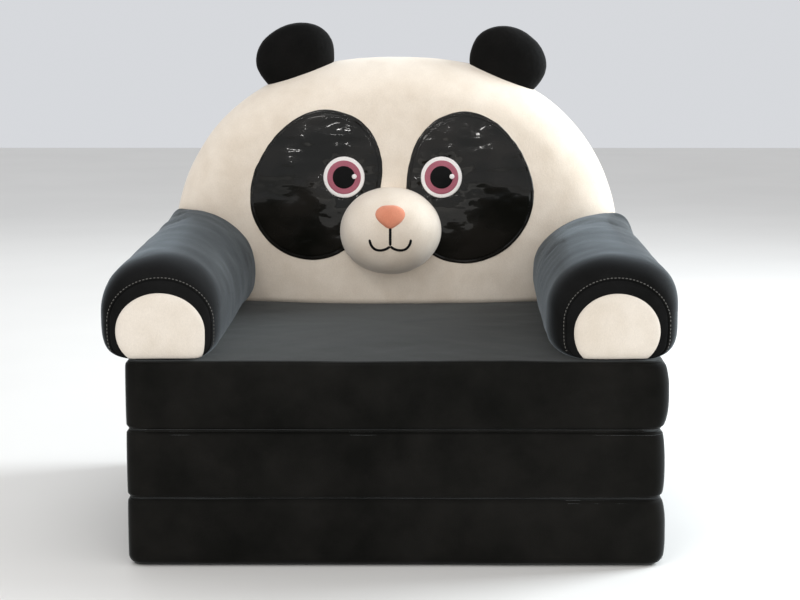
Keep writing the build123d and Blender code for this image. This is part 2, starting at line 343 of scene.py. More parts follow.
def core(cover, node, material, slot, body):
    """What fills a cover: the cover's own shape drawn in towards its middle."""
    co, _ = positions(cover)
    lowest, highest = co.min(0), co.max(0)
    middle, half = (lowest + highest) / 2, (highest - lowest) / 2
    faces = [list(p.vertices) for p in cover.data.polygons]
    drawn = middle + (co - middle) * (1 - CORE_INSET / half)
    return build(node + "_fill", drawn, faces, material, slot, body, (node,))


# ---------------------------------------------------------------- materials


class Surface:
    """A material with a Principled shader and short calls for adding nodes to it."""

    def __init__(self, name, **values):
        self.material = bpy.data.materials.new(name)
        self.material.use_nodes = True
        self.tree = self.material.node_tree
        self.shader = self.tree.nodes["Principled BSDF"]
        for key, value in values.items():
            self.shader.inputs[key.replace("_", " ")].default_value = value
        self.place = self.node("TexCoord", {}, "Object")

    def node(self, kind, inputs, output, **settings):
        """Add a node and return an output of it. inputs are values or sockets by name or number."""
        made = self.tree.nodes.new("ShaderNode" + kind)
        for key, value in settings.items():
            setattr(made, key, value)
        for key, value in inputs.items():
            if isinstance(value, bpy.types.NodeSocket):
                self.tree.links.new(value, made.inputs[key])
            else:
                made.inputs[key].default_value = value
        return made.outputs[output]

    def stretch(self, scale):
        """Object coordinates scaled by a factor for each axis."""
        return self.node("Mapping", {"Vector": self.place, "Scale": scale}, "Vector")

    def noise(self, scale, detail=3.0, place=None, roughness=0.5):
        """Noise between 0 and 1; scale is in features per metre."""
        inputs = {"Scale": scale, "Detail": detail, "Roughness": roughness}
        return self.node("TexNoise", {"Vector": place or self.place, **inputs}, "Fac")

    def bands(self, direction, scale, distortion):
        """Parallel waves between 0 and 1."""
        inputs = {"Vector": self.place, "Scale": scale, "Distortion": distortion}
        return self.node("TexWave", inputs, "Fac", wave_type="BANDS", bands_direction=direction)

    def range(self, value, low_in, high_in, low_out, high_out):
        """A value moved from one range to another."""
        inputs = {"From Min": low_in, "From Max": high_in, "To Min": low_out, "To Max": high_out}
        return self.node("MapRange", {"Value": value, **inputs}, "Result")

    def mix(self, factor, first, second, blend="MIX"):
        """Two colours mixed by a factor."""
        inputs = {0: factor, 6: first, 7: second}
        return self.node("Mix", inputs, 2, data_type="RGBA", blend_type=blend)

    def math(self, operation, first, second):
        """A Math node."""
        return self.node("Math", {0: first, 1: second}, 0, operation=operation)

    def bump(self, height, strength, distance, below=None):
        """A bump from a height between 0 and 1, laid over another one if given."""
        inputs = {"Height": height, "Strength": strength, "Distance": distance}
        if below is not None:
            inputs["Normal"] = below
        return self.node("Bump", inputs, "Normal")

    def set(self, **sockets):
        """Join sockets to the shader's inputs and return the material."""
        for key, socket in sockets.items():
            self.tree.links.new(socket, self.shader.inputs[key.replace("_", " ")])
        return self.material


def rgba(red, green, blue):
    """A colour as a picture shows it, 0 to 255, in the renderer's linear light."""
    linear = []
    for value in (red, green, blue):
        part = value / 255
        linear.append(part / 12.92 if part <= 0.04045 else ((part + 0.055) / 1.055) ** 2.4)
    return (*linear, 1.0)


def velvet(name, dark, bright, sheen, sheen_tint, pile=1.0):
    """Short pile brushed one way and another, brighter where it is seen at a slant."""
    made = Surface(name, Sheen_Weight=sheen, Sheen_Roughness=0.3, Sheen_Tint=sheen_tint, IOR=1.18)
    strokes = made.noise(9.0, 4.0, made.stretch((1.0, 0.45, 1.0)), 0.6)
    blotch = made.noise(34.0, 3.0, None, 0.55)
    both = made.math("ADD", made.math("MULTIPLY", strokes, 0.65), made.math("MULTIPLY", blotch, 0.35))
    factor = made.range(both, 0.36, 0.64, 0.0, 1.0)
    grain = made.noise(2600.0 * pile, 2.0)
    fibre = made.noise(900.0 * pile, 3.0, made.stretch((1.0, 0.7, 1.4)))
    tone = made.mix(factor, dark, bright)
    speck = made.range(grain, 0.3, 0.7, 0.82, 1.12)
    colour = made.mix(1.0, tone, speck, "MULTIPLY")
    lay = made.bump(both, 0.25, 1.2 * MM)
    soft = made.bump(fibre, 0.35, 0.35 * MM, lay)
    fine = made.bump(grain, 0.3, 0.12 * MM, soft)
    rough = made.range(fibre, 0.2, 0.8, 0.72, 0.95)
    return made.set(Base_Color=colour, Roughness=rough, Normal=fine)


def cream_plush(name, light, shade):
    """Brushed short plush: soft, slightly cloudy and a touch greyer where it is handled."""
    made = Surface(name, Sheen_Weight=0.35, Sheen_Roughness=0.5, Sheen_Tint=(1, 0.97, 0.93, 1), IOR=1.35)
    cloud = made.noise(7.0, 4.0, None, 0.6)
    blotch = made.noise(45.0, 3.0)
    both = made.math("ADD", made.math("MULTIPLY", cloud, 0.6), made.math("MULTIPLY", blotch, 0.4))
    fibre = made.noise(1100.0, 4.0, made.stretch((1.0, 1.0, 0.55)))
    tuft = made.noise(260.0, 3.0, made.stretch((1.3, 1.0, 0.8)))
    tone = made.mix(made.range(both, 0.38, 0.62, 0.0, 1.0), shade, light)
    colour = made.mix(1.0, tone, made.range(fibre, 0.25, 0.75, 0.93, 1.05), "MULTIPLY")
    lay = made.bump(tuft, 0.18, 0.8 * MM)
    fine = made.bump(fibre, 0.4, 0.35 * MM, lay)
    return made.set(Base_Color=colour, Roughness=made.range(fibre, 0.2, 0.8, 0.8, 0.98), Normal=fine)


def patent_leather(name):
    """Lacquered faux leather: nearly black, mirror gloss, with shallow creases and fine orange peel."""
    made = Surface(name, Coat_Weight=0.42, Coat_Roughness=0.03, Coat_IOR=1.5, IOR=1.2)
    crease = made.noise(16.0, 2.0, made.stretch((1.0, 1.0, 1.5)), 0.45)
    crumple = made.noise(48.0, 2.0, made.stretch((0.7, 1.0, 1.6)), 0.4)
    peel = made.noise(520.0, 2.0)
    tone = made.mix(made.range(crease, 0.4, 0.62, 0.0, 1.0), rgba(15, 15, 12), rgba(29, 27, 24))
    folds = made.bump(crease, 0.55, 5.0 * MM)
    small = made.bump(crumple, 0.35, 1.6 * MM, folds)
    skin = made.bump(peel, 0.06, 0.2 * MM, small)
    made.tree.links.new(small, made.shader.inputs["Coat Normal"])
    return made.set(Base_Color=tone, Roughness=made.range(crumple, 0.3, 0.7, 0.12, 0.24), Normal=skin)


def satin_stitch(name, colour, shade, gloss):
    """Embroidery in rows of shiny thread."""
    made = Surface(name, Sheen_Weight=gloss / 3, Sheen_Roughness=0.3, IOR=1.45, Specular_IOR_Level=gloss)
    rows = made.bands("DIAGONAL", 420.0, 1.2)
    twist = made.noise(1500.0, 2.0)
    fade = made.noise(60.0, 2.0)
    tone = made.mix(made.range(rows, 0.1, 0.9, 0.0, 1.0), shade, colour)
    tone = made.mix(made.range(fade, 0.35, 0.65, 0.0, 0.25), tone, shade)
    lay = made.bump(rows, 0.45, 0.25 * MM)
    fine = made.bump(twist, 0.2, 0.08 * MM, lay)
    return made.set(Base_Color=tone, Roughness=made.range(rows, 0.0, 1.0, 0.55, 0.38), Normal=fine)


def thread(name, colour, gloss):
    """Twisted sewing thread."""
    made = Surface(name, Sheen_Weight=gloss, Sheen_Roughness=0.4, Specular_IOR_Level=gloss)
    twist = made.noise(2400.0, 2.0, made.stretch((1.0, 1.0, 2.5)))
    shade = tuple(part * 0.55 for part in colour[:3]) + (1.0,)
    tone = made.mix(made.range(twist, 0.3, 0.7, 0.0, 1.0), shade, colour)
    return made.set(
        Base_Color=tone,
        Roughness=made.range(twist, 0.2, 0.8, 0.45, 0.7),
        Normal=made.bump(twist, 0.5, 0.15 * MM),
    )


def open_foam(name, light, shade):
    """Cut foam or fibre filling: matte and full of small cells."""
    made = Surface(name, IOR=1.3)
    cells = made.node("TexVoronoi", {"Vector": made.place, "Scale": 900.0}, "Distance")
    cloud = made.noise(25.0, 3.0)
    tone = made.mix(made.range(cells, 0.1, 0.7, 0.0, 1.0), shade, light)
    tone = made.mix(made.range(cloud, 0.3, 0.7, 0.0, 0.2), tone, shade)
    return made.set(
        Base_Color=tone,
        Roughness=made.range(cells, 0.0, 1.0, 0.85, 1.0),
        Normal=made.bump(cells, 0.6, 0.5 * MM),
    )


def woven(name, light, shade, pitch):
    """A flat weave of crossing threads, pitch apart."""
    made = Surface(name, Sheen_Weight=0.2, Sheen_Roughness=0.5, IOR=1.4)
    scale = 0.5 / pitch
    weave = made.math("MAXIMUM", made.bands("X", scale, 0.3), made.bands("Y", scale, 0.3))
    dust = made.noise(40.0, 3.0)
    tone = made.mix(made.range(weave, 0.4, 1.0, 0.0, 1.0), shade, light)
    tone = made.mix(made.range(dust, 0.4, 0.7, 0.0, 0.3), tone, light)
    return made.set(
        Base_Color=tone,
        Roughness=made.range(weave, 0.0, 1.0, 0.9, 0.7),
        Normal=made.bump(weave, 0.5, 0.3 * MM),
    )


def rubber_dot(name, colour):
    """Soft matte plastic with a little scuffing."""
    made = Surface(name, IOR=1.5)
    scuff = made.noise(300.0, 4.0)
    shade = tuple(part * 1.8 for part in colour[:3]) + (1.0,)
    tone = made.mix(made.range(scuff, 0.5, 0.75, 0.0, 0.6), colour, shade)
    return made.set(
        Base_Color=tone,
        Roughness=made.range(scuff, 0.3, 0.7, 0.45, 0.7),
        Normal=made.bump(scuff, 0.15, 0.1 * MM),
    )


def enamelled_metal(name, colour, bare):
    """Black enamel on cast zinc, worn to metal on its edges."""
    made = Surface(name, IOR=1.5, Coat_Weight=0.3, Coat_Roughness=0.2)
    edge = made.node("NewGeometry", {}, "Pointiness")
    scratch = made.noise(900.0, 4.0)
    wear = made.math("MULTIPLY", made.range(edge, 0.52, 0.6, 0.0, 1.0), scratch)
    factor = made.range(wear, 0.3, 0.6, 0.0, 1.0)
    return made.set(
        Base_Color=made.mix(factor, colour, bare),
        Metallic=factor,
        Roughness=made.range(scratch, 0.3, 0.7, 0.25, 0.45),
        Normal=made.bump(scratch, 0.08, 0.05 * MM),
    )


VELVET = velvet("velvet_black", rgba(10, 10, 8), rgba(23, 22, 20), 0.5, (0.55, 0.58, 0.58, 1))
ARM_VELVET = velvet("velvet_arm", rgba(10, 10, 9), rgba(22, 22, 22), 0.44, (0.53, 0.6, 0.65, 1))
EAR_PLUSH = velvet("velvet_ear", rgba(9, 9, 8), rgba(18, 17, 16), 0.3, (0.5, 0.5, 0.5, 1), 0.6)
CREAM = cream_plush("plush_cream", rgba(231, 220, 205), rgba(218, 205, 188))
# The paws' cream is the cream plush made darker: painted shade that offsets the stronger light falling
# on the paws.
PAW_CREAM_PAINTED_SHADE = cream_plush("paw_cream", rgba(213, 204, 192), rgba(203, 193, 179))
PATENT = patent_leather("patent_black")
WHITE = satin_stitch("felt_white", rgba(246, 243, 240), rgba(220, 214, 210), 0.6)
ROSE = satin_stitch("felt_rose", rgba(182, 104, 118), rgba(136, 64, 82), 0.6)
BLACK = satin_stitch("felt_black", rgba(11, 11, 11), rgba(5, 5, 5), 0.15)
CORAL = cream_plush("nose_coral", rgba(226, 152, 122), rgba(206, 130, 102))
BLACK_THREAD = thread("thread_black", rgba(12, 11, 11), 0.12)
PALE_THREAD = thread("thread_pale", rgba(92, 90, 84), 0.4)
FOAM = open_foam("foam", rgba(238, 228, 188), rgba(190, 176, 130))
FIBRE = open_foam("stuffing", rgba(244, 244, 240), rgba(205, 205, 200))
GRIP = woven("grip_fabric", rgba(52, 52, 55), rgba(26, 26, 28), 1.6 * MM)
DOT = rubber_dot("grip_dots", rgba(22, 22, 24))
TAPE = woven("zip_tape", rgba(20, 20, 20), rgba(9, 9, 9), 0.9 * MM)
COIL = rubber_dot("zip_coil", rgba(18, 18, 18))
METAL = enamelled_metal("zip_metal", rgba(22, 22, 23), rgba(150, 150, 148))

# ---------------------------------------------------------------- pads

PAD_CORNER_R = 15.0 * MM
PAD_POINTS = 420
SEAM_SHARE = 0.35  # the rim seams lie this far along the rounding of an edge


def pad_profile(height, top_r, foot_r):
    """Steps (inset, height above the pad's foot) down a pad's edge, with a raised seam on each rim."""
    top_arc, foot_arc = top_r * math.pi / 2, foot_r * math.pi / 2
    straight = height - top_r - foot_r
    total = top_arc + straight + foot_arc
    seams = (top_arc * SEAM_SHARE, total - foot_arc * SEAM_SHARE)
    where = set(np.arange(0, total, 3.0 * MM).tolist()) | {total}
    for seam in seams:
        where |= set((seam + np.arange(-4.0, 4.1, 0.5) * MM).clip(0, total).tolist())
    steps = []
    for run in sorted(where):
        if run < top_arc:
            angle = run / top_r
            inset, z = top_r * (1 - math.sin(angle)), height - top_r * (1 - math.cos(angle))
        elif run <= top_arc + straight:
            inset, z = 0.0, height - top_r - (run - top_arc)
        else:
            angle = (run - top_arc - straight) / foot_r
            inset, z = foot_r * (1 - math.cos(angle)), foot_r * (1 - math.sin(angle))
        ridge = 0.0
        for seam in seams:
            far = (run - seam) / MM
            ridge += 1.0 * math.exp(-((far / 0.7) ** 2)) - 0.8 * math.exp(-((far / 2.2) ** 2))
        steps.append((inset - ridge * MM, z))
    return steps


def pad(name, node, body, top_r, foot_r, crown, foot_lift, right_belly, foot_wave, seed):
    """One foam pad's cover: a box with soft edges, seams round its top and bottom rims."""
    bottom, top = low(node), high(node)
    middle = centre(node)
    half_w = (top[0] - bottom[0]) / 2
    half_d = (top[1] - bottom[1]) / 2
    height = top[2] - bottom[2]
    outline = rounded_rectangle(half_w, half_d, PAD_CORNER_R, PAD_POINTS)
    normal = outward(outline)
    # The foam pushes the front, the back and the right side out; the zip keeps the left side flat.
    right = np.clip(normal[:, 0], 0, 1)
    belly = 1.5 * MM * np.abs(normal[:, 1]) + right_belly * right
    steps = pad_profile(height, top_r, foot_r)
    inner = 1 - np.linspace(0, 1, 34) ** 1.5
    rings = []
    for share in reversed(inner[1:-1]):
        flat = (outline - normal * steps[0][0]) * share
        rings.append(level(flat, height + crown * (1 - share**3)))
    for inset, z in steps:
        out = belly * (1 - abs(2 * z / height - 1) ** 3)
        rings.append(level(outline - normal * (inset - out)[:, None], z))
    for share in inner[1:-1]:
        flat = (outline - normal * steps[-1][0]) * share
        rings.append(level(flat, foot_lift * (1 - share**20)))
    verts, faces = loft(rings)
    verts = verts + np.array([middle[0], middle[1], bottom[2]])
    piece = build(name, verts, faces, VELVET, "velvet_black", body, (node,))

    def hold(co):
        """Full on the top and the sides, foot_wave underneath and none round the zip."""
        up = np.clip((co[:, 2] - bottom[2]) / (4 * MM), foot_wave, 1.0)
        aside = np.clip((co[:, 0] - bottom[0]) / (12 * MM), 0.0, 1.0)
        return up * aside

    layers = ((0.11, 0.8 * MM, seed), (0.035, 0.35 * MM, seed + 1), (0.013, 0.12 * MM, seed + 2))
    undulate(piece, layers, hold)
    return piece


RIM = 4.5 * MM
base_pad = pad(
    "base_pad_sewn_cover", "base_pad_cover", "base_pad", RIM, 10 * MM, 0.2 * MM, 1 * MM, 4 * MM, 0.0, 1
)
middle_pad = pad(
    "middle_pad_sewn_cover", "middle_pad_cover", "middle_pad", RIM, RIM, 0.2 * MM, 0.0, 2.5 * MM, 0.7, 4
)
seat_pad = pad(
    "seat_pad_sewn_cover", "seat_pad_cover", "seat_unit", 6 * MM, RIM, 3 * MM, 0.0, 5.5 * MM, 0.0, 7
)

# ---------------------------------------------------------------- backrest

BACK_POWER = 2.28
BACK_SPRING = 250.0 * MM
BACK_WALL_Y = 196.0 * MM
BACK_RIM_FRONT = 46.0 * MM
BACK_RIM_REAR = 20.0 * MM
BACK_POINTS = 400
BACK_FOOT_FRONT = 8.0 * MM
BACK_FOOT_REAR = 6.0 * MM
BACK_SEAM_GAP = 0.6 * MM  # the front and the rear stand this far off the rim seam
BACK_SEAM_TUCK = 0.9965
CROWN_R = 700.0 * MM
CROWN_Z = 335.0 * MM


def dome_outline():
    """The backrest's outline: a superellipse dome on straight sides, closed along the seat."""
    rise = BACK_TOP - BACK_SPRING
    angle = np.linspace(0, math.pi, 160)
    x = BACK_HALF_W * squared(np.cos(angle), BACK_POWER)
    dome = np.column_stack([x, BACK_SPRING + rise * squared(np.sin(angle), BACK_POWER)])
    foot = [[-BACK_HALF_W, SEAT_TOP], [BACK_HALF_W, SEAT_TOP]]
    return dome, resample(np.vstack([dome, foot]), BACK_POINTS)


def distance_to(path, points):
    """Distance from each point to an open polyline, with its ends run on downwards."""
    ends = np.vstack([path, path[-1] - [0, 0.1]])
    ends = np.vstack([path[0] - [0, 0.1], ends])
    best = np.full(len(points), 1e9)
    for a, b in zip(ends[:-1], ends[1:]):
        along = b - a
        share = np.clip(((points - a) @ along) / (along @ along), 0, 1)
        best = np.minimum(best, np.linalg.norm(points - a - share[:, None] * along, axis=1))
    return best


def quarter(gap, width):
    """How far a rounded rim has dropped, 0 to 1, at a distance from its edge."""
    near = np.clip((width - gap) / width, 0, 1)
    return 1 - np.sqrt(np.clip(1 - near**2, 0, 1))


def backrest():
    """The stuffed backrest: crowned front, flat foot on the seat and a softly rounded back."""
    dome, outline = dome_outline()
    hub = np.array([0.0, CROWN_Z])
    shares = 1 - (1 - np.linspace(0.02, 1, 64)) ** 1.5
    front, rear = [], []
    for share in shares:
        flat = hub + (outline - hub) * share
        gap = distance_to(dome, flat)
        foot = flat[:, 1] - SEAT_TOP
        bulge = (flat[:, 0] ** 2 + (flat[:, 1] - CROWN_Z) ** 2) / (2 * CROWN_R)
        crown = BACK_FRONT + bulge
        y = crown + (BACK_WALL_Y - BACK_SEAM_GAP - crown) * quarter(gap, BACK_RIM_FRONT)
        y = y + BACK_FOOT_FRONT * quarter(foot, BACK_FOOT_FRONT)
        front.append(upright(flat, y))
        depth = BACK_REAR - BACK_WALL_Y - BACK_SEAM_GAP
        tuck_in = BACK_FOOT_REAR * quarter(foot, BACK_FOOT_REAR)
        y = BACK_REAR - depth * quarter(gap, BACK_RIM_REAR) - tuck_in
        rear.append(upright(flat, y))
    tuck = (outline - hub) * BACK_SEAM_TUCK + hub
    tuck[:, 1] = np.maximum(tuck[:, 1], SEAT_TOP)
    seam = upright(tuck, (front[-1][:, 1] + rear[-1][:, 1]) / 2)
    verts, faces = loft(front + [seam] + rear[::-1])
    nodes = ("backrest_front_cover", "backrest_rear_cover")
    piece = build("backrest_sewn_cover", verts, faces, CREAM, "plush_cream", "seat_unit", nodes)

    def hold(co):
        """Full in front, still on the back where the zip is sewn in."""
        return np.clip((BACK_REAR - co[:, 1]) / (10 * MM), 0.0, 1.0)

    undulate(piece, ((0.12, 1.6 * MM, 21), (0.04, 0.5 * MM, 22), (0.015, 0.12 * MM, 23)), hold)
    return piece


back = backrest()
back_surface = surface(back)

# ---------------------------------------------------------------- arms

ARM_POINTS = 240
ARM_NOSE_L = 44.0 * MM  # the front end rounds over this length
ARM_REAR_R = 9.0 * MM
CAP_SET = 8.0 * MM  # the cap's seam lies this far behind the front of the arm
CAP_HALF_W = 49.0 * MM
CAP_RISE = 41.0 * MM
CAP_CENTRE_Z = SEAT_TOP + 37.0 * MM

# For each arm, from the front end to the rear: how far outwards its ridge lies from the middle of
# the arm, and how far the arm reaches from there inwards, outwards and up, in millimetres.
ARM_FRONT = {"left": (6, 57, 61, 52), "right": (-7, 65, 63, 52)}
ARM_REAR = {"left": (23, 80, 24, 61), "right": (29, 88, 24, 54)}
ARM_TURN = {"left": 1.3, "right": 1.9}  # how late along the arm its shape turns to the rear one
ARM_SQUARE = {"left": 2.0, "right": 2.3}  # how square the outer shoulder is in front
CAP_SHIFT = {"left": 4.6 * MM, "right": -6.5 * MM}  # the caps' middles, outwards


def quadrants(inward, outward_reach, up, down, corner):
    """A closed outline round its ridge: inner side, outer side, top and flat foot; +x is outwards."""
    angle = full_turn(480)
    c, s = np.cos(angle), np.sin(angle)
    power = np.where(s < 0, 4.6, np.where(c > 0, corner, 2.0))
    x = np.where(c > 0, outward_reach, inward) * squared(c, power)
    z = np.where(s >= 0, up, down) * squared(s, power)
    return resample(np.column_stack([x, z]), ARM_POINTS)


def arm(side_name, side):
    """An arm: a plump bolster with a sewn cap on its front. Returns the cover and the cap's seam."""
    node = f"{side_name}_arm_cover"
    bottom, top = low(node), high(node)
    middle_x = (top[0] + bottom[0]) / 2
    centre_z = top[2] - (top[0] - bottom[0]) / 2
    down = centre_z - bottom[2]
    front, rear = bottom[1], top[1] + 4 * MM
    length = rear - front
    first, last = np.array(ARM_FRONT[side_name]), np.array(ARM_REAR[side_name])

    def section(y):
        """The arm's outline at a place along it, as x and z."""
        share = (y - front) / length
        turned = share ** ARM_TURN[side_name]
        shift, inward, reach, up = (first + (last - first) * turned) * MM
        outline = quadrants(inward, reach, up, down, ARM_SQUARE[side_name] + 1.4 * share)
        return np.column_stack([middle_x + side * (shift + outline[:, 0]), centre_z + outline[:, 1]])

    cap = quadrants(CAP_HALF_W, CAP_HALF_W, CAP_RISE, CAP_CENTRE_Z - bottom[2] - 1 * MM, 2.0)
    cap_middle = middle_x + side * CAP_SHIFT[side_name]
    seam = np.column_stack([cap_middle + side * cap[:, 0], CAP_CENTRE_Z + cap[:, 1]])
    hub = np.array([cap_middle, CAP_CENTRE_Z])
    seam_y = front + CAP_SET

    rings = []
    for share in np.linspace(0.04, 0.985, 26):
        y = front + 1 * MM + (CAP_SET - 1.5 * MM) * share**4
        rings.append(upright(hub + (seam - hub) * share, y))
    rings.append(upright(seam, seam_y + 1.2 * MM))
    for s in np.linspace(0.02, 1, 30) ** 1.8:
        y = seam_y + s * ARM_NOSE_L
        full = (1 - (1 - s) ** 2.1) ** (1 / 2.1)
        flat = seam + (section(y) - seam) * full
        rings.append(upright(flat, y - 0.6 * MM * math.exp(-s / 0.02)))
    for y in np.linspace(seam_y + ARM_NOSE_L, rear - ARM_REAR_R, 76)[1:]:
        rings.append(upright(section(y), y))
    end = section(rear - ARM_REAR_R)
    end_hub = np.array([end[:, 0].mean(), end[:, 1].mean()])
    reach = np.linalg.norm(end - end_hub, axis=1)[:, None]
    for angle in np.linspace(0, math.pi / 2, 10)[1:]:
        flat = end - (end - end_hub) / reach * ARM_REAR_R * (1 - math.cos(angle))
        rings.append(upright(flat, rear - ARM_REAR_R * (1 - math.sin(angle))))
    for share in np.linspace(0.9, 0.1, 6):
        rings.append(upright(end_hub + (flat - end_hub) * share, rear))
    verts, faces = loft(rings)
    nodes = (node, f"{side_name}_arm_end_cap")
    name = f"{side_name}_arm_sewn_cover"
    cover = build(name, verts, faces, ARM_VELVET, "velvet_black", "seat_unit", nodes)

    def hold(co):
        """Full above the seat, none where the arm rests on it or on its cap."""
        up = np.clip((co[:, 2] - SEAT_TOP) / (12 * MM), 0.0, 1.0)
        return up * np.clip((co[:, 1] - front) / (30 * MM), 0.15, 1.0)

    def rearwards(co):
        """Creases gather where the arm meets the backrest."""
        share = (co[:, 1] - front) / length
        return hold(co) * np.clip((share - 0.5) / 0.4, 0.0, 1.0)

    def sewn(co):
        """Held along the seat, round the cap's seam and across the cap."""
        foot = np.clip(1 - (co[:, 2] - SEAT_TOP - 4 * MM) / (16 * MM), 0.0, 1.0)
        ahead = np.clip(1 - (co[:, 1] - seam_y) / (60 * MM), 0.0, 1.0) ** 2
        return np.maximum(foot, ahead)

    seed = 40 + 5 * side
    undulate(cover, ((0.05, 1.5 * MM, seed + 4),), rearwards)
    puff(cover, 6.0 * MM, 3.0 * MM, sewn)
    undulate(cover, ((0.09, 1.5 * MM, seed), (0.03, 0.5 * MM, seed + 1)), hold)
    undulate(cover, ((0.022, 0.6 * MM, seed + 2), (0.011, 0.15 * MM, seed + 3)), rearwards)
    return cover, upright(seam, seam_y)


def cap_stitches(side_name, cover, path):
    """Pale stitches round the seam of an arm's front cap, where it stands clear of the seat."""
    tree = surface(cover)
    loop = np.vstack([path, path[:1]])
    marks = [p for p in spaced(loop, 3.4 * MM) if p[2] > SEAT_TOP + 10 * MM]
    middle = path.mean(0)
    points, normals = [], []
    for mark in marks:
        away = (mark - middle) / np.linalg.norm(mark - middle)
        point, normal = on_front(tree, *(mark + away * 2.2 * MM)[[0, 2]])
        points.append(point)
        normals.append(normal)
    size = (2.3 * MM, 0.9 * MM, 0.8 * MM)
    name = f"{side_name}_arm_cap_stitches"
    return beads(name, points, normals, size, PALE_THREAD, "velvet_black", "seat_unit")


PAW_RISE = 37.5 * MM
PAW_DROP = 2.2 * MM
PAW_TRIM = {"left": 0.3 * MM, "right": 1.7 * MM}
PAW_INNER_POWER = {"left": 3.4, "right": 2.2}  # how square the foot's inner corner is


def paw(side_name, side, cover, middle_x):
    """The cream paw: a slightly stuffed oval with a flat foot, sewn on the arm's front cap."""
    node = f"{side_name}_paw_panel"
    tree = surface(cover)
    bottom, top = low(node), high(node)
    half_w = (top[0] - bottom[0]) / 2 - PAW_TRIM[side_name]
    middle_z = top[2] - PAW_RISE - PAW_DROP
    angle = full_turn(400)
    c, s = np.cos(angle), np.sin(angle)
    inner_foot = (s < 0) & (c * side < 0)
    power = np.where(inner_foot, PAW_INNER_POWER[side_name], 2.0)
    z = np.maximum(PAW_RISE * squared(s, power), bottom[2] - middle_z)
    outline = resample(np.column_stack([half_w * squared(c, power), z]), 220)
    rings = []
    for share in 1 - (1 - np.linspace(0.04, 1, 30)) ** 1.7:
        flat = outline * share + [middle_x, middle_z]
        lift = 0.2 * MM + 2.0 * MM * (1 - math.exp(-(1 - share) / 0.05)) + 0.8 * MM * (1 - share**2)
        ring = [on_front(tree, x, z)[0] - [0, lift, 0] for x, z in flat]
        rings.append(np.array(ring))
    rings.append(rings[-1] + [0, 2.0 * MM, 0])
    verts, faces = loft(rings)
    # The paw wears the darker copy of the cream plush, which is painted shade.
    piece = build(f"{side_name}_paw_pad", verts, faces, PAW_CREAM_PAINTED_SHADE, "paw_cream", "seat_unit", (node,))
    undulate(piece, ((0.05, 0.4 * MM, 61), (0.02, 0.12 * MM, 62)))
    return piece


arms = {}
for side_name, side in SIDES:
    cover, cap_path = arm(side_name, side)
    cap_stitches(side_name, cover, cap_path)
    paw(side_name, side, cover, (cap_path[:, 0].max() + cap_path[:, 0].min()) / 2)
    arms[side_name] = cover

# ---------------------------------------------------------------- ears

EAR_BACK = 5.0 * MM

# For each ear: how far its middle lies right of and above the CAD ear's, its half width and half
# height, all in millimetres; and how far it leans outwards, in degrees.
EAR_SHAPE = {"left": (6.5, 8.5, 46.0, 35.6, 22.0), "right": (5.4, 3.7, 45.2, 36.2, 27.0)}
EAR_ROOT = 1.3  # the half of an ear below its middle is this much longer, and runs into the head


def superball(half, power, across=96, around=160):
    """Rings of an egg with its poles on Y: half sizes on X, Y and Z and one squareness."""
    turn = full_turn(around)
    rings = []
    for tilt in np.linspace(-0.495 * math.pi, 0.495 * math.pi, across):
        wide = math.cos(tilt) ** (2 / power)
        flat = np.column_stack([half[0] * wide * np.cos(turn), half[2] * wide * np.sin(turn)])
        rings.append(upright(flat, half[1] * squared(math.sin(tilt), power)))
    return rings


def ear(side_name, side):
    """A stuffed plush ear leaning outwards, with a seam round its edge."""
    node = f"{side_name}_ear_cover"
    radius = (high(node) - low(node))[0] / 2
    stuffing = f"{side_name}_ear_stuffing"
    depth = (high(stuffing) - low(stuffing))[1] / 2
    right, up, half_w, half_h, lean = EAR_SHAPE[side_name]
    rings = []
    for ring in superball((half_w * MM, depth, half_h * MM), 2.15):
        wide = np.hypot(ring[:, 0] / half_w, ring[:, 2] / half_h) / MM
        pinch = 1 - 0.018 * np.exp(-((ring[:, 1] / (1.6 * MM)) ** 2)) * (wide > 0.8)
        root = np.where(ring[:, 2] < 0, EAR_ROOT, 1.0)
        rings.append(ring * np.column_stack([pinch, np.ones(len(ring)), pinch * root]))
    verts, faces = loft(rings)
    lean = -side * math.radians(lean)
    x = verts[:, 0] * math.cos(lean) - verts[:, 2] * math.sin(lean)
    z = verts[:, 0] * math.sin(lean) + verts[:, 2] * math.cos(lean)
    place = centre(node, stuffing) + [right * MM, EAR_BACK, 0.0]
    place[2] = high(node)[2] - radius + up * MM
    verts = np.column_stack([x, verts[:, 1], z]) + place
    name = f"{side_name}_ear_sewn_cover"
    piece = build(name, verts, faces, EAR_PLUSH, "velvet_ear", "seat_unit", (node,))

    def sewn(co):
        """Held where the ear is sewn into the backrest's seam."""
        return np.clip(1 - (co[:, 2] - place[2] + 0.5 * half_h * MM) / (10 * MM), 0.0, 1.0)

    puff(piece, 4.0 * MM, 1.2 * MM, sewn)
    undulate(piece, ((0.04, 0.6 * MM, 70 + side), (0.014, 0.3 * MM, 72), (0.004, 0.2 * MM, 73)))
    return piece


ears = {side_name: ear(side_name, side) for side_name, side in SIDES}

# ---------------------------------------------------------------- eye patches and eyes

PATCH_BORDER = 4.2 * MM
PATCH_HALF_W = 73.0 * MM
EYE_PULL = 1.6 * MM  # the eye's stitching draws the patch in by this much
WHITE_TRIM = 0.7 * MM  # the white is this much smaller all round than the CAD one
DISC_FIRST = 1.1 * MM  # height of the white over the patch
DISC_STEP = 0.7 * MM  # and of each disc over the one below
EYE_DISCS = (
    ("eye_white", WHITE, "felt_white"),
    ("eye_iris", ROSE, "felt_rose"),
    ("eye_pupil", BLACK, "felt_black"),
    ("eye_glint", WHITE, "felt_white"),
)

# For each patch: how far its middle lies right of and above the CAD patch's, in millimetres; how
# oval and how three-cornered it is; and which way its long axis and one corner point, in degrees.
PATCH_SHAPE = {
    "left": (0.3, -0.5, 0.105, 64.5, -0.016, -2.0),
    "right": (-1.5, -5.0, 0.086, 94.0, 0.035, -13.0),
}


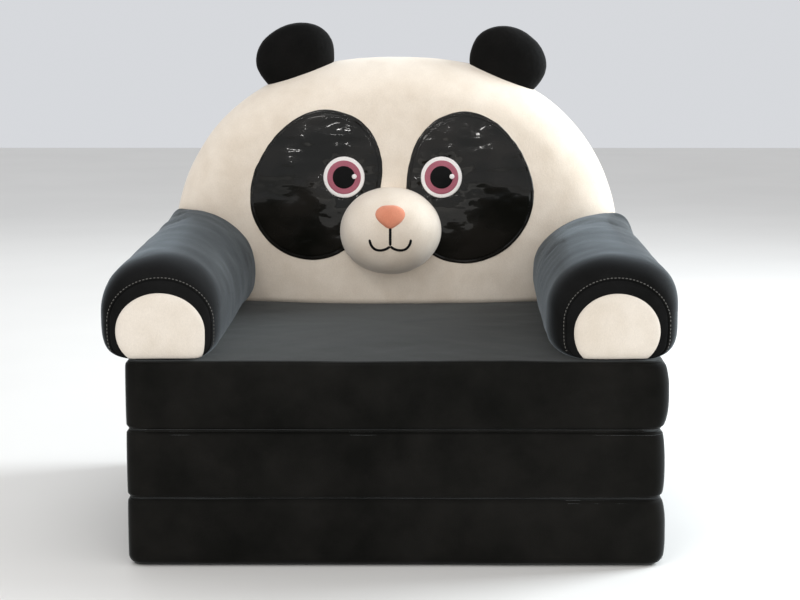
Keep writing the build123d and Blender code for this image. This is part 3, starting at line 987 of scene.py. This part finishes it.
def oval(middle, radius, count):
    """A circle in the X-Z plane."""
    angle = full_turn(count)
    return radius * np.column_stack([np.cos(angle), np.sin(angle)]) + [middle[0], middle[2]]


def patch_outline(side_name, side, inset, count):
    """The leaning, slightly three-cornered outline of an eye patch, drawn in by inset."""
    node = f"{side_name}_eye_patch"
    size = high(node) - low(node)
    right, up, oval_part, oval_turn, corner_part, corner_turn = PATCH_SHAPE[side_name]
    outer_x = low(node)[0] if side < 0 else high(node)[0]
    hub = np.array([outer_x - side * PATCH_HALF_W + right * MM, centre(node)[2] + up * MM])
    reach = (PATCH_HALF_W + size[2] / 2) / 2
    angle = full_turn(count)
    radius = reach * (
        1
        + oval_part * np.cos(2 * (angle - math.radians(oval_turn)))
        + corner_part * np.cos(3 * (angle - math.radians(corner_turn)))
    )
    outline = hub + [FACE_SHIFT, 0] + radius[:, None] * np.column_stack([np.cos(angle), np.sin(angle)])
    return outline - outward(outline) * inset


def applique(name, tree, outline, heights, material, slot, replaces):
    """A padded shape sewn on a surface. heights gives the rise at a distance from the edge."""
    hub = outline.mean(0)
    reach = np.linalg.norm(outline - hub, axis=1).mean()
    rings = []
    for share in 1 - (1 - np.linspace(0.03, 1, 44)) ** 1.7:
        flat = hub + (outline - hub) * share
        rise = heights((1 - share) * reach, share)
        ring = []
        for x, z in flat:
            point, normal = on_front(tree, x, z)
            ring.append(point + normal * rise)
        rings.append(np.array(ring))
    rings.append(rings[-1] + [0, 1.6 * MM, 0])
    verts, faces = loft(rings)
    return build(name, verts, faces, material, slot, "seat_unit", replaces)


def patch_heights(gap, share):
    """A padded patch with a narrow sewn groove inside its edge."""
    groove = 0.9 * MM * math.exp(-(((gap - PATCH_BORDER) / (0.9 * MM)) ** 2))
    edge = 1.3 * MM * (1 - math.exp(-gap / (0.8 * MM)))
    belly = 4.5 * MM * (1 - share**2) if gap > PATCH_BORDER else 0.0
    return 0.3 * MM + edge + belly - groove


def disc_heights(thick):
    """Rise of a flat embroidered disc with a soft edge."""

    def rise(gap, share):
        return thick * (1 - math.exp(-gap / (0.45 * MM))) + 0.25 * MM * (1 - share**2)

    return rise


def eye_patch(side_name, side):
    """A padded eye patch, creased above and drawn in round the eye. Returns its surface."""
    patch = applique(
        f"{side_name}_eye_patch_sewn",
        back_surface,
        patch_outline(side_name, side, 0.0, 260),
        patch_heights,
        PATENT,
        "patent_black",
        (f"{side_name}_eye_patch",),
    )
    white = f"{side_name}_eye_white"
    eye = centre(white) + [FACE_SHIFT, 0, 0]
    eye_r = (high(white) - low(white))[0] / 2

    def upper(co):
        """Creases run across the upper half of the patch."""
        return np.clip((co[:, 2] - eye[2] + 25 * MM) / (60 * MM), 0.05, 1.0)

    undulate(patch, ((0.03, 0.7 * MM, 81 + side), (0.012, 0.2 * MM, 83)))
    undulate(patch, ((0.009, 0.7 * MM, 85 + side), (0.02, 0.6 * MM, 87)), upper, (3.0, 1.0, 0.9))
    co, _ = positions(patch)
    flat = co[:, [0, 2]] - [eye[0], eye[2]]
    gap = np.linalg.norm(flat, axis=1) - eye_r
    turn = np.arctan2(flat[:, 1], flat[:, 0])
    gathers = 1 + 0.35 * np.sin(13 * turn) + 0.25 * np.sin(7 * turn + 1.0)
    co[:, 1] += EYE_PULL * np.where(gap < 0, 1.0, np.exp(-gap / (6 * MM)) * gathers)
    move(patch, co)
    return surface(patch)


def patch_stitches(side_name, side, patch_surface):
    """Black stitches in the groove inside a patch's edge."""
    loop = patch_outline(side_name, side, PATCH_BORDER, 400)
    path = spaced(np.vstack([loop, loop[:1]]), 3.0 * MM)
    points, normals = zip(*[on_front(patch_surface, x, z) for x, z in path])
    size = (2.2 * MM, 0.6 * MM, 0.6 * MM)
    name = f"{side_name}_eye_patch_stitches"
    beads(name, points, normals, size, BLACK_THREAD, "thread_black", "seat_unit")


def eye(side_name, patch_surface):
    """An embroidered eye: white, rose ring, pupil and glint, each a little higher than the last."""
    for number, (disc, material, slot) in enumerate(EYE_DISCS):
        node = f"{side_name}_{disc}"
        radius = (high(node) - low(node))[0] / 2
        if disc == "eye_white":
            radius -= WHITE_TRIM
        outline = oval(centre(node) + [FACE_SHIFT, 0, 0], radius, 120)
        heights = disc_heights(DISC_FIRST + number * DISC_STEP)
        name = f"{node}_embroidered"
        applique(name, patch_surface, outline, heights, material, slot, (node,))


for side_name, side in SIDES:
    patch_surface = eye_patch(side_name, side)
    patch_stitches(side_name, side, patch_surface)
    eye(side_name, patch_surface)

# ---------------------------------------------------------------- muzzle, nose and mouth


def muzzle():
    """The stuffed muzzle, its seam tucked against the face."""
    node = "muzzle_cover"
    middle, size = centre(node), high(node) - low(node)
    rings = superball((size[0] / 2, BACK_FRONT - low(node)[1], size[2] / 2), 2.25, 110, 200)
    verts, faces = loft(rings)
    verts = verts + np.array([middle[0] + MUZZLE_SHIFT, BACK_FRONT + 2 * MM, middle[2]])
    piece = build("muzzle_sewn_cover", verts, faces, CREAM, "plush_cream", "seat_unit", (node,))

    def sewn(co):
        """Held along the seam on the face."""
        return np.clip((co[:, 1] - BACK_FRONT + 6 * MM) / (8 * MM), 0.0, 1.0)

    puff(piece, 4.0 * MM, 2.0 * MM, sewn)
    undulate(piece, ((0.05, 0.8 * MM, 91), (0.018, 0.2 * MM, 92)))
    return piece


muzzle_piece = muzzle()
muzzle_surface = surface(muzzle_piece)


def nose():
    """A brushed coral nose: a low dome above, drawn to a soft point below."""
    node = "nose"
    middle, size = centre(node) + [MUZZLE_SHIFT, 0, 0], high(node) - low(node)
    angle = full_turn(300)
    c, s = np.cos(angle), np.sin(angle)
    width = size[0] / 2 * np.sign(c) * np.abs(c) ** np.where(s > 0, 0.8, 1.0)
    width *= 1 - 0.42 * np.clip(-s, 0, 1) ** 1.6
    z = np.where(s > 0, size[2] * 0.38, size[2] * 0.56) * s
    outline = resample(np.column_stack([width, z]), 160) + [middle[0], middle[2] + 1 * MM]

    def heights(gap, share):
        return 0.2 * MM + 2.8 * MM * (1 - math.exp(-gap / (2.4 * MM)))

    piece = applique("nose_brushed", muzzle_surface, outline, heights, CORAL, "nose_coral", (node,))
    undulate(piece, ((0.008, 0.25 * MM, 95),))
    return piece


def curve(points, count):
    """A cubic Bezier curve."""
    t = np.linspace(0, 1, count)[:, None]
    a, b, c, d = (np.array(p, float) for p in points)
    return (1 - t) ** 3 * a + 3 * (1 - t) ** 2 * t * b + 3 * (1 - t) * t**2 * c + t**3 * d


def mouth():
    """The embroidered mouth: a short stem that forks into two upturned corners."""
    node = "mouth"
    bottom, top = low(node), high(node)
    middle = (bottom[0] + top[0]) / 2 + MUZZLE_SHIFT
    width = 3.1 * MM
    half = (top[0] - bottom[0]) / 2 - width / 2
    fork = bottom[2] + 6.0 * MM
    lines = [np.array([[middle, top[2] + 2 * MM], [middle, fork]])]
    for side in (-1, 1):
        steps = ((0, 0), (0.26, -6.5 * MM), (0.93, -9 * MM), (1.0, 7.5 * MM))
        lines.append(curve([(middle + side * half * x, fork + z) for x, z in steps], 60))
    turn = full_turn(12)
    parts = []
    for line in lines:
        marks = [on_front(muzzle_surface, x, z) for x, z in spaced(line, 0.8 * MM)]
        forward = np.gradient(np.array([point for point, _ in marks]), axis=0)
        rings = []
        for number, ((point, normal), along) in enumerate(zip(marks, forward)):
            across = np.cross(normal, along / np.linalg.norm(along))
            end = min(number, len(marks) - 1 - number)
            swell = min(1.0, 0.55 + 0.25 * end) * (1 + 0.06 * math.sin(number * 1.9))
            rings.append(
                point
                + np.outer(np.cos(turn) * width / 2 * swell, across)
                + np.outer(np.sin(turn) * width / 3 * swell, normal)
            )
        parts.append(loft(rings))
    verts, faces = joined(parts)
    return build("mouth_embroidered", verts, faces, BLACK_THREAD, "thread_black", "seat_unit", (node,))


nose()
mouth()

# ---------------------------------------------------------------- hinge seams

STRIP_T = 0.6 * MM  # the hinge strip's thickness


def hinge_seam(name, node, axis_y):
    """The folded strip that joins two pads along their hinge line, bending across it."""
    bottom, top = low(node), high(node)
    axis_z = (bottom[2] + top[2]) / 2
    out = math.copysign(1.0, axis_y)
    upper = [
        (axis_y - out * depth * MM, axis_z + spread * MM)
        for depth, spread in ((8.0, 1.6), (6.0, 1.2), (4.4, 0.95), (3.0, 0.9))
    ]
    tip = [
        (axis_y - out * (2.2 - math.sin(a) * 0.9) * MM, axis_z + math.cos(a) * 0.9 * MM)
        for a in np.linspace(0, math.pi, 9)
    ]
    lower = [(y, 2 * axis_z - z) for y, z in reversed(upper)]
    outer = np.array(upper + tip + lower)
    hub = np.array([axis_y - out * 6.0 * MM, axis_z])
    inward = hub - outer[::-1]
    inner = outer[::-1] + inward / np.linalg.norm(inward, axis=1)[:, None] * STRIP_T
    loop = np.vstack([outer, inner])
    rings = []
    for x in np.arange(bottom[0], top[0] + 1e-6, 3.0 * MM):
        wave = 0.25 * MM * noise.noise(Vector((x / 0.02, axis_y, 0.0)))
        ring = np.column_stack([np.full(len(loop), x), loop[:, 0] + out * wave, loop[:, 1]])
        rings.append(ring)
    verts, faces = loft(rings)
    piece = build(name, verts, faces, VELVET, "velvet_black", None, (node,))
    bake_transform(piece)
    return piece


for joint in frame["joints"]:
    if joint["name"] == "rear_fold":
        hinge_seam("rear_hinge_seam", "rear_hinge_welt", joint["pos_m"][1])
    if joint["name"] == "front_fold":
        hinge_seam("front_hinge_seam", "front_hinge_welt", joint["pos_m"][1])

# ---------------------------------------------------------------- non-slip underside

DOT_PITCH = 15.0 * MM
DOT_R = 2.2 * MM
DOT_RISE = 0.5 * MM


def grip_panel():
    """The woven panel under the base pad, raised on rows of rubber dots."""
    node = "base_grip_panel"
    bottom, top = low(node), high(node)
    middle, half = (bottom + top) / 2, (top - bottom) / 2
    outline = rounded_rectangle(half[0], half[1], PAD_CORNER_R, 160) + middle[:2]
    floor_z = bottom[2] + DOT_RISE
    shares = np.linspace(0.1, 1, 8)
    rings = [level(middle[:2] + (outline - middle[:2]) * share, floor_z) for share in shares]
    rings += [level(ring[:, :2], top[2]) for ring in reversed(rings)]
    verts, faces = loft(rings)
    build("base_grip_fabric", verts, faces, GRIP, "grip_fabric", "base_pad", (node,))
    across = np.arange(bottom[0] + DOT_PITCH, top[0] - DOT_PITCH / 2, DOT_PITCH)
    along = np.arange(bottom[1] + DOT_PITCH, top[1] - DOT_PITCH / 2, DOT_PITCH / 2)
    places = [(x + (row % 2) * DOT_PITCH / 2, y) for row, y in enumerate(along) for x in across[:-1]]
    points = np.array([(x, y, floor_z) for x, y in places])
    normals = np.tile((0.0, 0.0, -1.0), (len(points), 1))
    size = (2 * DOT_R, 2 * DOT_R, 2 * DOT_RISE)
    beads("base_grip_dots", points, normals, size, DOT, "grip_fabric", "base_pad")


grip_panel()

# ---------------------------------------------------------------- carried-over nodes


def finish_node(node, material):
    """Give a CAD node that shows as it is its material."""
    piece = frame["nodes"][node]
    piece.data.materials.clear()
    piece.data.materials.append(material)


for zip_name in ("base", "middle", "seat", "backrest"):
    finish_node(f"{zip_name}_zip_tape", TAPE)
    finish_node(f"{zip_name}_zip_slider", METAL)
    finish_node(f"{zip_name}_zip_pull", METAL)

COIL_PITCH = 1.8 * MM
COIL_SIZE = (COIL_PITCH * 0.8, 6.3 * MM, 1.6 * MM)
COIL_SINK = 1.55 * MM  # the turns' middles lie this far below the CAD coil's outer face


def coil_teeth(zip_name, body, along, across):
    """The turns of a zip's nylon coil, standing just proud of the CAD bar they are wound on."""
    node = f"{zip_name}_zip_tape"
    bottom, top = low(node), high(node)
    out = 3 - along - across
    sign = -1 if abs(bottom[out]) > abs(top[out]) else 1
    count = int((top[along] - bottom[along] - 8 * MM) / COIL_PITCH)
    points = np.tile((bottom + top) / 2, (count, 1))
    points[:, along] += (np.arange(count) - (count - 1) / 2) * COIL_PITCH
    points[:, out] = (bottom if sign < 0 else top)[out] - sign * COIL_SINK
    normals = np.zeros((count, 3))
    normals[:, out] = sign
    beads(f"{zip_name}_zip_coil", points, normals, COIL_SIZE, COIL, "zip_tape", body)


coil_teeth("base", "base_pad", 1, 2)
coil_teeth("middle", "middle_pad", 1, 2)
coil_teeth("seat", "seat_unit", 1, 2)
coil_teeth("backrest", "seat_unit", 0, 2)

for cover, node, body in (
    (base_pad, "base_pad_foam", "base_pad"),
    (middle_pad, "middle_pad_foam", "middle_pad"),
    (seat_pad, "seat_pad_foam", "seat_unit"),
    (back, "backrest_foam", "seat_unit"),
):
    core(cover, node, FOAM, "foam", body)
for side_name, _ in SIDES:
    core(arms[side_name], f"{side_name}_arm_stuffing", FIBRE, "stuffing", "seat_unit")
    core(ears[side_name], f"{side_name}_ear_stuffing", FIBRE, "stuffing", "seat_unit")
core(muzzle_piece, "muzzle_stuffing", FIBRE, "stuffing", "seat_unit")

# ---------------------------------------------------------------- floor, light and camera

FLOOR_REACH = 6.0


def floor():
    """A plain pale floor."""
    made = Surface("pale_floor", Roughness=0.75)
    cloud = made.noise(3.0, 2.0)
    tone = made.mix(cloud, rgba(226, 224, 220), rgba(234, 232, 228))
    material = made.set(Base_Color=tone)
    far = FLOOR_REACH
    verts = [(-far, -far, 0), (far, -far, 0), (far, far, 0), (-far, far, 0)]
    mesh = bpy.data.meshes.new("floor")
    mesh.from_pydata(verts, [], [(0, 1, 2, 3)])
    mesh.materials.append(material)
    plane = bpy.data.objects.new("floor", mesh)
    bpy.context.scene.collection.objects.link(plane)


def softbox(name, place, target, width, height, power, colour):
    """A rectangular area light aimed at a point."""
    data = bpy.data.lights.new(name, "AREA")
    data.shape = "RECTANGLE"
    data.size, data.size_y = width, height
    data.energy = power
    data.color = colour
    light = bpy.data.objects.new(name, data)
    light.visible_camera = False
    light.location = place
    light.rotation_euler = (Vector(target) - Vector(place)).to_track_quat("-Z", "Y").to_euler()
    bpy.context.scene.collection.objects.link(light)
    return light


floor()
softbox("ceiling_softbox", (0.1, -0.6, 2.6), (0, 0, 0.3), 1.6, 1.0, 5, (1.0, 0.98, 0.95))
softbox("window_softbox", (1.9, 0.6, 1.0), (0, 0, 0.25), 1.0, 1.6, 72, (0.86, 0.94, 1.0))
softbox("front_fill", (-1.1, -2.2, 2.4), (0, 0, 0.3), 0.9, 0.6, 12, (1.0, 0.97, 0.93))
low_fill = softbox("low_fill", (0, -2.8, 0.35), (0, 0, 0.3), 2.6, 0.5, 22, (1.0, 0.97, 0.94))
low_fill.visible_glossy = False  # lifts the shadows without a mirror image in the eye patches
softbox("back_rim", (-0.4, 2.2, 1.8), (0, 0, 0.3), 2.0, 1.0, 12, (0.95, 0.98, 1.0))
for number in range(10):
    place = (-1.35 + 0.3 * number, -2.4, 1.0 + 0.22 * (number * 2 % 5))
    softbox(f"strip_light_{number + 1}", place, (0, 0, 0.35), 0.12, 0.03, 0.9, (1.0, 0.98, 0.95))

world = bpy.data.worlds.new("studio")
world.use_nodes = True
world.node_tree.nodes["Background"].inputs["Color"].default_value = (0.94, 0.96, 1.0, 1)
world.node_tree.nodes["Background"].inputs["Strength"].default_value = 0.72
bpy.context.scene.world = world
bpy.context.scene.view_settings.view_transform = "Standard"

CAMERA_PLACE = (11.5 * MM, -2015.5 * MM, 524.3 * MM)
CAMERA_DOWN = math.radians(8.32)
CAMERA_LEFT = math.radians(0.195)
CAMERA_LENS = 85.5
camera_data = bpy.data.cameras.new("camera")
camera_data.lens = CAMERA_LENS
camera_data.sensor_width = 36.0
camera = bpy.data.objects.new("camera", camera_data)
camera.location = CAMERA_PLACE
camera.rotation_euler = (math.pi / 2 - CAMERA_DOWN, 0.0, CAMERA_LEFT)
bpy.context.scene.collection.objects.link(camera)
bpy.context.scene.camera = camera
